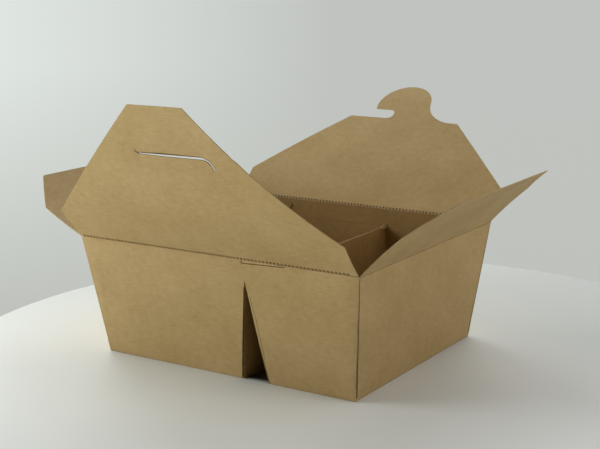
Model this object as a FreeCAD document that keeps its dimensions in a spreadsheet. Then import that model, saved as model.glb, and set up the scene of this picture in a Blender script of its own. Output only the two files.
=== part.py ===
"""Two-compartment takeaway box, folded from one blank of brown kraft board.

The box is a tapered tray whose floor is pleated up into a hollow divider. Bellows corners are folded
inside and lie against the long walls, so the tray holds liquid without a cut corner. Four flaps hang on
creases at the rim: two side flaps fold in first, the front flap with its curved slit comes over them, and
the back flap with its hook tab closes on top. The flaps stand open, as they do when the box is filled.

Frame: X runs along the front wall to the right, Y goes to the back, Z is up. The origin is the middle of
the tray's base, on its underside. All sizes are in millimetres.
"""
import FreeCAD
import Part
import math
import os
import re
import Sketcher

# Driving dimensions: alias, value, what it is
SIZES = (
    ("board", 0.45, "thickness of the kraft board"),
    ("top_length", 166.0, "tray length at the rim, outside"),
    ("top_width", 141.0, "tray width at the rim, outside"),
    ("base_length", 150.5, "tray length at the base, outside"),
    ("base_width", 121.0, "tray width at the base, outside"),
    ("height", 63.5, "height of the long flaps' creases above the base"),
    ("fold_round", 0.35, "outside radius of the folds round the base"),
    ("crease_gap", 0.15, "clearance between a flap's edge at the crease and its wall"),
    ("stack_gap", 0.15, "clearance between a closed side flap and the flap above it"),
    ("divider_place", 19.0, "X of the divider's ridge"),
    ("divider_foot", 7.6, "half width of the divider at the floor"),
    ("ridge_height", 53.6, "height of the divider's ridge"),
    ("ridge_width", 0.6, "width of the folded ridge"),
    ("notch_foot", 8.3, "half width of the V cut in the long walls at the base"),
    ("notch_height", 52.3, "height of the V cut's point"),
    ("corner_web_reach", 46.0, "length of a folded corner web's top edge"),
    ("corner_web_drop", 3.4, "distance of that edge below the rim"),
    ("divider_web_reach", 40.0, "length of a folded divider web's top edge"),
    ("web_foot", 0.6, "length of a web at the floor"),
    ("groove_start", 1.8, "height above the base where a corner groove starts"),
    ("groove_foot", 0.9, "width of a corner groove at its foot"),
    ("groove_top", 0.3, "width of a corner groove at the rim"),
    ("groove_depth", 0.75, "depth of a corner groove"),
    ("long_flap_inset", 0.5, "distance of a long flap's end from the tray's corner"),
    ("long_flap_flare", 0.3, "overhang of a long flap's shoulder past the tray's corner"),
    ("front_lean", 27.0, "lean of the front flap outwards from upright, degrees"),
    ("front_reach", 84.5, "straight length of the front flap"),
    ("front_bow", 6.4, "bow of the front flap"),
    ("front_shoulder", 20.0, "distance of the front flap's shoulder from its crease"),
    ("front_tip_half", 15.5, "half width of the front flap's free edge"),
    ("slit_place", 61.6, "distance of the slit from the crease"),
    ("slit_left", 15.5, "length of the slit left of the middle"),
    ("slit_bend", 21.0, "length of the slit's straight run right of the middle"),
    ("slit_round", 5.8, "radius of the slit's curved end"),
    ("slit_width", 1.2, "gape of the slit"),
    ("back_lean", 52.8, "lean of the back flap outwards from upright, degrees"),
    ("back_bow", 2.6, "bow of the back flap"),
    ("back_shoulder", 19.5, "distance of the back flap's shoulder from its crease"),
    ("back_edge", 69.1, "distance of the back flap's free edge from its crease"),
    ("back_tip_half", 35.8, "half width of the back flap's free edge"),
    ("back_round", 2.0, "radius of the free edge's corner beside the tab"),
    ("tab_place", -5.4, "X of the tab's middle"),
    ("tab_rise", 13.2, "distance of the tab's middle past the back flap's free edge"),
    ("tab_radius", 17.2, "radius of the tab"),
    ("tab_hollow", 20.0, "radius of the hollow between the tab and the free edge"),
    ("hook_slot", 7.9, "width of the slot under the tab's hook"),
    ("hook_end", -8.1, "X of the slot's closed end"),
    ("side_clearance", 0.35, "clearance of a side flap's ends inside the long walls"),
    ("side_reach", 52.3, "straight length of a side flap"),
    ("side_shoulder", 29.3, "distance of a side flap's shoulder from its crease"),
    ("side_draft", 1.1, "narrowing of a side flap at each end up to its shoulder"),
    ("side_chamfer", 18.6, "narrowing at each end from shoulder to free edge"),
    ("side_round", 2.5, "radius of a side flap's corners"),
    ("right_lean", 49.3, "lean of the right flap outwards from upright, degrees"),
    ("right_bow", 1.65, "bow of the right flap"),
    ("left_lean", 61.5, "lean of the left flap outwards from upright, degrees"),
    ("left_bow", 1.7, "bow of the left flap"),
    ("perforation_cut", 1.2, "length of one cut of a perforated crease"),
    ("perforation_pitch", 2.1, "pitch of those cuts"),
    ("perforation_depth", 0.5, "width of those cuts above the crease"),
)
ALIASES = {alias for alias, _, _ in SIZES}

# Heights and half sizes that several features share, as formulas of the driving dimensions
RIM_CUT = "(board / 2 + crease_gap)"
SIDE_CREASE_DROP = "(board + stack_gap)"
SIDE_CREASE_HEIGHT = f"(height - {SIDE_CREASE_DROP})"
LONG_FLAP_ROOT = "(top_length / 2 - long_flap_inset)"
LONG_FLAP_SHOULDER = "(top_length / 2 + long_flap_flare)"
SIDE_FLAP_ROOT = "(top_width / 2 - board - side_clearance)"
SIDE_FLAP_SHOULDER = f"({SIDE_FLAP_ROOT} - side_draft)"
SIDE_FLAP_TIP = f"({SIDE_FLAP_SHOULDER} - side_chamfer)"
TAB_LEVEL = "(back_edge + tab_rise)"
HOLLOW_OFFSET = "sqrt((tab_radius + tab_hollow) ^ 2 - (tab_hollow - tab_rise) ^ 2)"
HOLLOW_SHARE = "(tab_radius / (tab_radius + tab_hollow))"
BACK_REACH = f"({TAB_LEVEL} + tab_radius)"
SLOT_MIDDLE = "(hook_end - hook_slot / 2)"
HEXAGON_FLAT = "(sqrt(3) / 2)"

doc = FreeCAD.newDocument("TakeawayBox")


def make_sheet():
    """Put the driving dimensions into the document's spreadsheet."""
    sheet = doc.addObject("Spreadsheet::Sheet", "Sizes")
    for row, (alias, size, note) in enumerate(SIZES, start=1):
        sheet.set(f"A{row}", note)
        sheet.set(f"B{row}", str(size))
        sheet.setAlias(f"B{row}", alias)
    doc.recompute()
    return sheet


sizes = make_sheet()


def formula(text):
    """Turn a formula of aliases into an expression that reads the spreadsheet."""
    return re.sub(r"[a-z_]+", lambda word: f"Sizes.{word[0]}" if word[0] in ALIASES else word[0], text)


def value(text):
    """Work out a formula of aliases."""
    return float(sizes.evalExpression(formula(text)))


def half_length(level):
    """Half of the tray's outside length at a height."""
    return f"((base_length + (top_length - base_length) * ({level}) / height) / 2)"


def half_width(level):
    """Half of the tray's outside width at a height."""
    return f"((base_width + (top_width - base_width) * ({level}) / height) / 2)"


def new_body(name):
    """Start a sub-part."""
    body = doc.addObject("PartDesign::Body", name)
    body.Label = name
    return body


def origin_plane(body, role):
    """One of a body's own origin planes."""
    return next(item for item in body.Origin.OriginFeatures if item.Role == role)


def new_sketch(body, name, role, level=None):
    """Start a sketch on an origin plane, or parallel to it at a height."""
    sketch = body.newObject("Sketcher::SketchObject", name)
    sketch.AttachmentSupport = [(origin_plane(body, role), "")]
    sketch.MapMode = "FlatFace"
    if level is not None:
        sketch.setExpression("AttachmentOffset.Base.z", formula(level))
    return sketch


def fix_distance(sketch, direction, geometry, position, text):
    """Tie one coordinate of a point to a formula."""
    number = sketch.addConstraint(
        Sketcher.Constraint(f"Distance{direction}", -1, 1, geometry, position, value(text))
    )
    sketch.setExpression(f"Constraints[{number}]", formula(text))


def fix_point(sketch, geometry, position, x, y):
    """Tie both coordinates of a point to formulas."""
    fix_distance(sketch, "X", geometry, position, x)
    fix_distance(sketch, "Y", geometry, position, y)


def arc_between(start, end, centre, clockwise):
    """An arc round a centre, and the numbers of its ends in the drawing direction."""
    circle = Part.Circle(centre, FreeCAD.Vector(0, 0, 1), start.distanceToPoint(centre))
    first = math.atan2(start.y - centre.y, start.x - centre.x)
    last = math.atan2(end.y - centre.y, end.x - centre.x)
    if clockwise:
        first, last = last, first
    if last <= first:
        last += 2 * math.pi
    ends = (2, 1) if clockwise else (1, 2)
    return Part.ArcOfCircle(circle, first, last), ends


def draw_outline(sketch, steps):
    """Draw a closed outline. A step is a point, and for an arc that leaves it a centre and a direction.

    A point at the end of an arc is tied by the one coordinate that the arc leaves free.
    """
    base = sketch.GeometryCount
    count = len(steps)
    spots = [FreeCAD.Vector(value(step[0]), value(step[1]), 0) for step in steps]
    ends = []
    for index, step in enumerate(steps):
        start = spots[index]
        end = spots[(index + 1) % count]
        if len(step) == 2:
            sketch.addGeometry(Part.LineSegment(start, end), False)
            ends.append((1, 2))
        else:
            centre = FreeCAD.Vector(value(step[2]), value(step[3]), 0)
            arc, arc_ends = arc_between(start, end, centre, step[4])
            sketch.addGeometry(arc, False)
            ends.append(arc_ends)
    for index, step in enumerate(steps):
        edge = base + index
        before = (index - 1) % count
        sketch.addConstraint(
            Sketcher.Constraint("Coincident", base + before, ends[before][1], edge, ends[index][0])
        )
        arrives_by = steps[before]
        if len(arrives_by) == 2:
            fix_point(sketch, edge, ends[index][0], step[0], step[1])
        else:
            across = abs(spots[index].x - value(arrives_by[2])) > abs(spots[index].y - value(arrives_by[3]))
            direction, text = ("Y", step[1]) if across else ("X", step[0])
            fix_distance(sketch, direction, edge, ends[index][0], text)
        if len(step) > 2:
            fix_point(sketch, edge, 3, step[2], step[3])


def rectangle(x_low, x_high, y_low, y_high):
    """The steps of a rectangle's outline."""
    return ((x_low, y_low), (x_high, y_low), (x_high, y_high), (x_low, y_high))


def add_wedge(body, kind, name, foot, head):
    """A block with flat sloping sides between two level rectangles, fused or cut.

    Each rectangle is given by its height and its limits along X and Y. The block stands on the XZ plane,
    whose own Z points to the front.
    """
    wedge = body.newObject(f"PartDesign::{kind}Wedge", name)
    wedge.AttachmentSupport = [(origin_plane(body, "XZ_Plane"), "")]
    wedge.MapMode = "FlatFace"
    for end, mark, (level, x_low, x_high, y_low, y_high) in (("min", "", foot), ("max", "2", head)):
        limits = {
            f"Y{end}": level,
            f"X{mark}min": x_low,
            f"X{mark}max": x_high,
            f"Z{mark}min": f"-{y_high}",
            f"Z{mark}max": f"-{y_low}",
        }
        for size, text in limits.items():
            setattr(wedge, size, value(text))
            wedge.setExpression(size, formula(text))
    return wedge


def add_pocket(body, name, sketch, depth=None):
    """Cut a sketch right through both ways, or to a depth below it."""
    pocket = body.newObject("PartDesign::Pocket", name)
    pocket.Profile = sketch
    if depth is None:
        pocket.SideType = "Symmetric"
        pocket.Type = "ThroughAll"
    else:
        pocket.setExpression("Length", formula(depth))
    return pocket


def add_mirror(body, name, role, originals):
    """Repeat features on the other side of an origin plane."""
    mirror = body.newObject("PartDesign::Mirrored", name)
    mirror.Originals = originals
    mirror.MirrorPlane = (origin_plane(body, role), [""])
    body.Tip = mirror
    return mirror


def add_four_corners(body, name, feature):
    """Repeat a feature of one corner at the other three."""
    pattern = body.newObject("PartDesign::MultiTransform", name)
    pattern.Originals = [feature]
    mirrors = []
    for role in ("XZ_Plane", "YZ_Plane"):
        mirror = body.newObject("PartDesign::Mirrored", name + role[:2])
        mirror.MirrorPlane = (origin_plane(body, role), [""])
        mirrors.append(mirror)
    pattern.Transformations = mirrors
    body.Tip = pattern
    return pattern


def add_fillet(body, name, feature, chosen, radius):
    """Round the edges of a feature's shape that a test chooses."""
    doc.recompute()
    names = [f"Edge{index}" for index, edge in enumerate(feature.Shape.Edges, start=1) if chosen(edge)]
    fillet = body.newObject("PartDesign::Fillet", name)
    fillet.Base = (feature, names)
    fillet.setExpression("Radius", formula(radius))
    return fillet


def wall_strip(level, inner, outer):
    """Y limits of a strip along the front wall, at two distances behind its outside face."""
    return f"(-{half_width(level)} + {inner})", f"(-{half_width(level)} + {outer})"


def add_tray_shell(body):
    """The tapered tray, with its floor and four walls."""
    for kind, name, inset, floor in (("Additive", "Outside", "0", "0"), ("Subtractive", "Inside", "board", "board")):
        limits = []
        for level in (floor, "height"):
            along = f"({half_length(level)} - {inset})"
            across = f"({half_width(level)} - {inset})"
            limits.append((level, f"-{along}", along, f"-{across}", across))
        add_wedge(body, kind, name, *limits)


def add_divider(body):
    """The floor's pleat: a narrow wedge from wall to wall."""
    limits = []
    for level, half in (("0", "divider_foot"), ("ridge_height", "ridge_width / 2")):
        across = f"({half_width(level)} - board / 2)"
        limits.append(
            (level, f"(divider_place - {half})", f"(divider_place + {half})", f"-{across}", across)
        )
    add_wedge(body, "Additive", "Divider", *limits)


def add_webs(body):
    """The bellows corners: double layers of board folded flat against the long walls."""
    web_top = "(height - corner_web_drop)"
    outer_end = "- board / 2"
    corner = []
    for level, reach in (("board / 2", "web_foot"), (web_top, "corner_web_reach")):
        end = f"({half_length(level)} {outer_end})"
        corner.append((level, f"({end} - {reach})", end, *wall_strip(level, "board / 2", "3 * board")))
    wedge = add_wedge(body, "Additive", "CornerWeb", *corner)
    add_four_corners(body, "CornerWebs", wedge)
    divider = []
    for level, reach in (("board / 2", "(divider_foot + web_foot)"), ("ridge_height", "divider_web_reach")):
        low = f"(divider_place - {reach})"
        high = f"(divider_place + {reach})"
        divider.append((level, low, high, *wall_strip(level, "board / 2", "3 * board")))
    wedge = add_wedge(body, "Additive", "DividerWeb", *divider)
    add_mirror(body, "DividerWebs", "XZ_Plane", [wedge])


def add_tunnel(body):
    """The hollow under the pleat, open at both ends and below."""
    sketch = new_sketch(body, "TunnelSection", "XZ_Plane")
    half = "(divider_foot - board)"
    point = f"(ridge_height * {half} / (divider_foot - ridge_width / 2))"
    below = f"({half} * (1 + board / {point}))"
    draw_outline(
        sketch,
        (
            (f"(divider_place - {below})", "-board"),
            (f"(divider_place + {below})", "-board"),
            ("divider_place", point),
        ),
    )
    add_pocket(body, "Tunnel", sketch)


def add_notches(body):
    """The V cuts in the long walls, as deep as the outer layer of board."""
    limits = []
    for level, half in (("0", "notch_foot"), ("notch_height", "ridge_width / 4")):
        strip = wall_strip(level, "(-board)", "board")
        limits.append((level, f"(divider_place - {half})", f"(divider_place + {half})", *strip))
    wedge = add_wedge(body, "Subtractive", "Notch", *limits)
    add_mirror(body, "Notches", "XZ_Plane", [wedge])


def add_corner_grooves(body):
    """The gaps that run up the corners into the folded webs."""
    limits = []
    for level, width in (("groove_start", "groove_foot"), ("height", "groove_top")):
        face = half_length(level)
        strip = wall_strip(level, "board", f"(board + {width})")
        limits.append((level, f"({face} - groove_depth)", f"({face} + board)", *strip))
    wedge = add_wedge(body, "Subtractive", "CornerGroove", *limits)
    add_four_corners(body, "CornerGrooves", wedge)


def add_rim(body):
    """Trim the walls below the creases, and the short walls a little lower for the side flaps."""
    along = f"({half_length('height')} + board)"
    across = f"({half_width('height')} + board)"
    sketch = new_sketch(body, "RimLevel", "XY_Plane", "height")
    draw_outline(sketch, rectangle(f"-{along}", along, f"-{across}", across))
    add_pocket(body, "RimTrim", sketch, RIM_CUT)
    inner = f"({half_length('height')} - 3 * board)"
    between = f"({half_width('height')} - board)"
    sketch = new_sketch(body, "SideRimLevel", "XY_Plane", "height")
    draw_outline(sketch, rectangle(inner, along, f"-{between}", between))
    draw_outline(sketch, rectangle(f"-{along}", f"-{inner}", f"-{between}", between))
    return add_pocket(body, "SideRimTrim", sketch, f"{RIM_CUT} + {SIDE_CREASE_DROP}")


def is_base_fold(edge):
    """Whether an edge is one of the folds round the outside of the base."""
    ends = [vertex.Point for vertex in edge.Vertexes]
    if len(ends) < 2 or max(abs(end.z) for end in ends) > 1e-6:
        return False
    along_side = all(abs(abs(end.x) - value("base_length / 2")) < 1e-6 for end in ends)
    along_front = all(abs(abs(end.y) - value("base_width / 2")) < 1e-6 for end in ends)
    return along_side or along_front


def make_box_body():
    """The tray with its divider and folded corners, one piece of board."""
    body = new_body("box_body")
    add_tray_shell(body)
    add_divider(body)
    add_webs(body)
    add_tunnel(body)
    add_notches(body)
    add_corner_grooves(body)
    trim = add_rim(body)
    add_fillet(body, "BaseFolds", trim, is_base_fold, "fold_round")
    return body


def place_flap(body, spot, turn, tilt):
    """Stand a flap on its crease: spot is the crease's middle, tilt turns the flap up from level."""
    x, y, z = (formula(text) for text in spot)
    body.setExpression("Placement", f"placement(vector({x}; {y}; {z}); rotation({turn}; 0; {formula(tilt)}))")


def add_bowed_sheet(body, reach, bow, width):
    """Board bowed to an arc from its crease, on the X axis, to its free edge.

    The middle of the board passes through both ends and bows towards +Z. The edge at the crease is half
    a hexagon, so that it rolls over the wall.
    """
    radius = f"(({reach}) ^ 2 / 4 + {bow} ^ 2) / (2 * {bow})"
    middle = f"(({reach}) / 2)"
    depth = f"-({radius} - {bow})"
    lean = f"({reach}) / 2 / ({radius})"
    rise = f"({radius} - {bow}) / ({radius})"
    nose = f"({rise}) * {HEXAGON_FLAT} * board / 2"
    drop = f"({lean}) * {HEXAGON_FLAT} * board / 2"
    steps = (
        (f"({lean}) * board / 2", f"-({rise}) * board / 2", middle, depth, True),
        (f"({reach}) - ({lean}) * board / 2", f"-({rise}) * board / 2"),
        (f"({reach}) + ({lean}) * board / 2", f"({rise}) * board / 2", middle, depth, False),
        (f"-({lean}) * board / 2", f"({rise}) * board / 2"),
        (f"-({lean}) * board / 4 - {nose}", f"({rise}) * board / 4 - {drop}"),
        (f"({lean}) * board / 4 - {nose}", f"-({rise}) * board / 4 - {drop}"),
    )
    sketch = new_sketch(body, "SheetSection", "YZ_Plane")
    draw_outline(sketch, steps)
    pad = body.newObject("PartDesign::Pad", "Sheet")
    pad.Profile = sketch
    pad.SideType = "Symmetric"
    pad.setExpression("Length", formula(width))
    return pad


def add_cut_outline(body, reach, half, steps):
    """Cut the sheet to an outline: all that lies round it goes."""
    sketch = new_sketch(body, "CutOutline", "XY_Plane")
    margin = "4 * board"
    draw_outline(
        sketch,
        rectangle(f"-({half} + {margin})", f"({half} + {margin})", f"-{margin}", f"({reach} + {margin})"),
    )
    draw_outline(sketch, steps)
    return add_pocket(body, "Cut", sketch)


def add_perforation(body, half):
    """The row of cuts along a crease."""
    sketch = new_sketch(body, "PerforationCut", "XY_Plane")
    first = f"(-{half} + perforation_pitch)"
    draw_outline(sketch, rectangle(first, f"({first} + perforation_cut)", "-board", "perforation_depth"))
    pocket = add_pocket(body, "Perforation", sketch)
    run = f"(2 * {half} - 3 * perforation_pitch)"
    pattern = body.newObject("PartDesign::LinearPattern", "Perforations")
    pattern.Originals = [pocket]
    pattern.Direction = (sketch, ["H_Axis"])
    pattern.setExpression("Occurrences", formula(f"floor({run} / perforation_pitch) + 1"))
    pattern.setExpression("Length", formula(f"floor({run} / perforation_pitch) * perforation_pitch"))
    body.Tip = pattern
    return pattern


def stands_at(*spots):
    """A test for the short edges that go through the board at given points of an outline."""
    places = [(value(x), value(y)) for x, y in spots]

    def chosen(edge):
        ends = [vertex.Point for vertex in edge.Vertexes]
        return len(ends) == 2 and any(
            all(math.hypot(end.x - x, end.y - y) < 1e-4 for end in ends) for x, y in places
        )

    return chosen


def make_front_flap():
    """The front flap: wide at its shoulders, with the slit that takes the back flap's tab."""
    body = new_body("front_flap")
    place_flap(body, ("0", "-(top_width - board) / 2", "height"), 0, "90 + front_lean")
    add_bowed_sheet(body, "front_reach", "front_bow", f"2 * {LONG_FLAP_SHOULDER}")
    half = LONG_FLAP_SHOULDER
    add_cut_outline(
        body,
        "front_reach",
        half,
        (
            (f"-{LONG_FLAP_ROOT}", "-board"),
            (LONG_FLAP_ROOT, "-board"),
            (half, "front_shoulder"),
            ("front_tip_half", "(front_reach + board)"),
            ("-front_tip_half", "(front_reach + board)"),
            (f"-{half}", "front_shoulder"),
        ),
    )
    sketch = new_sketch(body, "SlitOutline", "XY_Plane")
    low = "(slit_place - slit_width / 2)"
    high = "(slit_place + slit_width / 2)"
    level = "(slit_place - slit_round)"
    draw_outline(
        sketch,
        (
            ("-slit_left", low),
            ("slit_bend", low, "slit_bend", level, True),
            ("(slit_bend + slit_round - slit_width / 2)", level),
            ("(slit_bend + slit_round + slit_width / 2)", level, "slit_bend", level, False),
            ("slit_bend", high),
            ("-slit_left", high),
        ),
    )
    add_pocket(body, "Slit", sketch)
    add_perforation(body, LONG_FLAP_ROOT)
    return body


def make_back_flap():
    """The back flap: shorter, with a round tab whose hook catches under the slit's end."""
    body = new_body("back_flap")
    place_flap(body, ("0", "(top_width - board) / 2", "height"), 0, "90 - back_lean")
    add_bowed_sheet(body, BACK_REACH, "back_bow", f"2 * {LONG_FLAP_SHOULDER}")
    half = LONG_FLAP_SHOULDER
    hollow = f"(tab_place + {HOLLOW_OFFSET})"
    hook_level = "(back_edge + hook_slot)"
    hook_tip = "(tab_place - sqrt(tab_radius ^ 2 - (tab_rise - hook_slot) ^ 2))"
    meets = (
        f"(tab_place + {HOLLOW_OFFSET} * {HOLLOW_SHARE})",
        f"({TAB_LEVEL} + (tab_hollow - tab_rise) * {HOLLOW_SHARE})",
    )
    cut = add_cut_outline(
        body,
        BACK_REACH,
        half,
        (
            (f"-{LONG_FLAP_ROOT}", "-board"),
            (LONG_FLAP_ROOT, "-board"),
            (half, "back_shoulder"),
            ("back_tip_half", "back_edge"),
            (hollow, "back_edge", hollow, "(back_edge + tab_hollow)", True),
            (*meets, "tab_place", TAB_LEVEL, False),
            (hook_tip, hook_level),
            (SLOT_MIDDLE, hook_level, SLOT_MIDDLE, "(back_edge + hook_slot / 2)", True),
            (SLOT_MIDDLE, "back_edge"),
            ("-back_tip_half", "back_edge"),
            (f"-{half}", "back_shoulder"),
        ),
    )
    add_fillet(body, "TipRound", cut, stands_at(("back_tip_half", "back_edge")), "back_round")
    add_perforation(body, LONG_FLAP_ROOT)
    return body


def make_side_flap(name, bow, turn, tilt, side):
    """A side flap: it folds in first and keeps the food off the long flaps' joint."""
    body = new_body(name)
    crease = f"{side}({half_length(SIDE_CREASE_HEIGHT)} - board / 2)"
    place_flap(body, (crease, "0", SIDE_CREASE_HEIGHT), turn, tilt)
    add_bowed_sheet(body, "side_reach", bow, f"2 * {SIDE_FLAP_ROOT}")
    cut = add_cut_outline(
        body,
        "side_reach",
        SIDE_FLAP_ROOT,
        (
            (f"-{SIDE_FLAP_ROOT}", "-board"),
            (SIDE_FLAP_ROOT, "-board"),
            (SIDE_FLAP_SHOULDER, "side_shoulder"),
            (SIDE_FLAP_TIP, "(side_reach - board / 2)"),
            (f"-{SIDE_FLAP_TIP}", "(side_reach - board / 2)"),
            (f"-{SIDE_FLAP_SHOULDER}", "side_shoulder"),
        ),
    )
    corners = stands_at(
        (SIDE_FLAP_SHOULDER, "side_shoulder"),
        (SIDE_FLAP_TIP, "(side_reach - board / 2)"),
        (f"-{SIDE_FLAP_TIP}", "(side_reach - board / 2)"),
        (f"-{SIDE_FLAP_SHOULDER}", "side_shoulder"),
    )
    add_fillet(body, "CornerRounds", cut, corners, "side_round")
    return body


parts = [
    make_box_body(),
    make_front_flap(),
    make_back_flap(),
    make_side_flap("left_flap", "left_bow", -90, "90 + left_lean", "-"),
    make_side_flap("right_flap", "right_bow", -90, "90 - right_lean", ""),
]
doc.recompute()

for item in doc.Objects:
    if "Invalid" in item.State or "Error" in item.State:
        raise RuntimeError(f"{item.Name} failed: {item.State}")
for part in parts:
    if part.Shape.isNull() or not part.Shape.isValid() or len(part.Shape.Solids) != 1:
        raise RuntimeError(f"{part.Label} is not one valid solid")

os.makedirs("parts", exist_ok=True)
for part in parts:
    part.Shape.exportStep(f"parts/{part.Label}.step")
    print(f"{part.Label}: volume {part.Shape.Volume:.1f} mm3, box {part.Shape.BoundBox}")
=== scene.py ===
"""Looks of the two-compartment takeaway box, a tray folded from one blank of brown kraft board.

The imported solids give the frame: X runs along the front wall to the right, Y goes to the back, Z is up,
in metres. Sizes below are in millimetres, as a box maker writes them, and are turned to metres where a mesh
is made.
"""
from __future__ import annotations

import logging
import math
from dataclasses import dataclass, field
from enum import Enum
from typing import Callable, Sequence

import bpy
from bpy.types import Material, Modifier, Node, NodeSocket, NodeTree, Object, World
from mathutils import Matrix, Vector


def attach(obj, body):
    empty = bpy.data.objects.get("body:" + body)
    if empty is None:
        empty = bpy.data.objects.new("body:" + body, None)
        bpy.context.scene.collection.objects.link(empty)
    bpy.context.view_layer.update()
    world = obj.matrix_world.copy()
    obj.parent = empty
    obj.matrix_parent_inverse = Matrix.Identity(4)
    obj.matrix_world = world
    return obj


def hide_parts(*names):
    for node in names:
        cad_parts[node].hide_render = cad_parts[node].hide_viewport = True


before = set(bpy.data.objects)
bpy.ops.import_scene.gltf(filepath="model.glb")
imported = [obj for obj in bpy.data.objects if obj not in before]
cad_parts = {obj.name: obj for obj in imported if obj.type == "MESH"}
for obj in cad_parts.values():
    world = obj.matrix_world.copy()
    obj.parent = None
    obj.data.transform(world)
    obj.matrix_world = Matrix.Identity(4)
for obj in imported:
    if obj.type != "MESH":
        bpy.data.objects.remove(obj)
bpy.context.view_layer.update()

MM = 0.001
CHART = "board"
LOG = logging.getLogger("takeaway_box")

# Sizes that several pieces share
BOARD = 0.45
HEIGHT = 63.5
DIVIDER = 19.0
CREASE_Y = 70.275
CREASE_HALF = 82.5
CUT_PITCH = 2.1
CUT_LENGTH = 1.0
TIED_TO = 43.0

# How far a cutter reaches past what it cuts, and how near to a plane a face still counts as lying on it
CLEAR = 2.0
NEAR = 0.02
# From here on a face's normal counts as pointing along an axis
FACING = 0.7

Point = tuple[float, float]
Place = tuple[float, float, float]
Field = Callable[[float, float], float]


class Side(Enum):
    """Whether a modifier keeps what a cutter covers or takes it away."""

    KEEP = "INTERSECT"
    REMOVE = "DIFFERENCE"


class Face(Enum):
    """Material slots of every board piece, by their place in its list."""

    SURFACE = 0
    CUT_EDGE = 1
    # A darker board: painted shade inside the tray, in its hollows and along its rim
    INSIDE = 2
    # A darker board still: painted shade in cuts, grooves and gaps and along the slit
    CREASE = 3


def linear(hex_colour: str) -> tuple[float, float, float, float]:
    """Turn an sRGB hex value to a linear colour.

    Args:
        hex_colour: six hex digits, with or without a leading mark.

    Returns:
        The linear red, green, blue and an alpha of 1.
    """
    digits = hex_colour.lstrip("#")
    parts = [int(digits[i : i + 2], 16) / 255 for i in (0, 2, 4)]
    turned = [c / 12.92 if c <= 0.04045 else ((c + 0.055) / 1.055) ** 2.4 for c in parts]
    return turned[0], turned[1], turned[2], 1.0


def smooth_step(low: float, high: float, value: float) -> float:
    """Rise smoothly from 0 at low to 1 at high."""
    t = min(max((value - low) / (high - low), 0.0), 1.0)
    return t * t * (3 - 2 * t)


def blank_tree(owner: Material | World) -> NodeTree:
    """Give a material or a world an empty node tree."""
    owner.use_nodes = True
    owner.node_tree.nodes.clear()
    return owner.node_tree


def add_node(
    tree: NodeTree,
    kind: str,
    settings: dict[str, object] | None = None,
    inputs: dict[str | int, object] | None = None,
) -> Node:
    """Add a node with its settings, values and links.

    Args:
        tree: the node tree it goes into.
        kind: the node's Blender type, without ShaderNode before it.
        settings: properties of the node itself.
        inputs: by socket name or number, a value or the output socket that is linked to it.

    Returns:
        The new node.
    """
    node = tree.nodes.new("ShaderNode" + kind)
    for name, value in (settings or {}).items():
        setattr(node, name, value)
    for name, value in (inputs or {}).items():
        if isinstance(value, NodeSocket):
            tree.links.new(value, node.inputs[name])
        else:
            node.inputs[name].default_value = value
    return node


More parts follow.
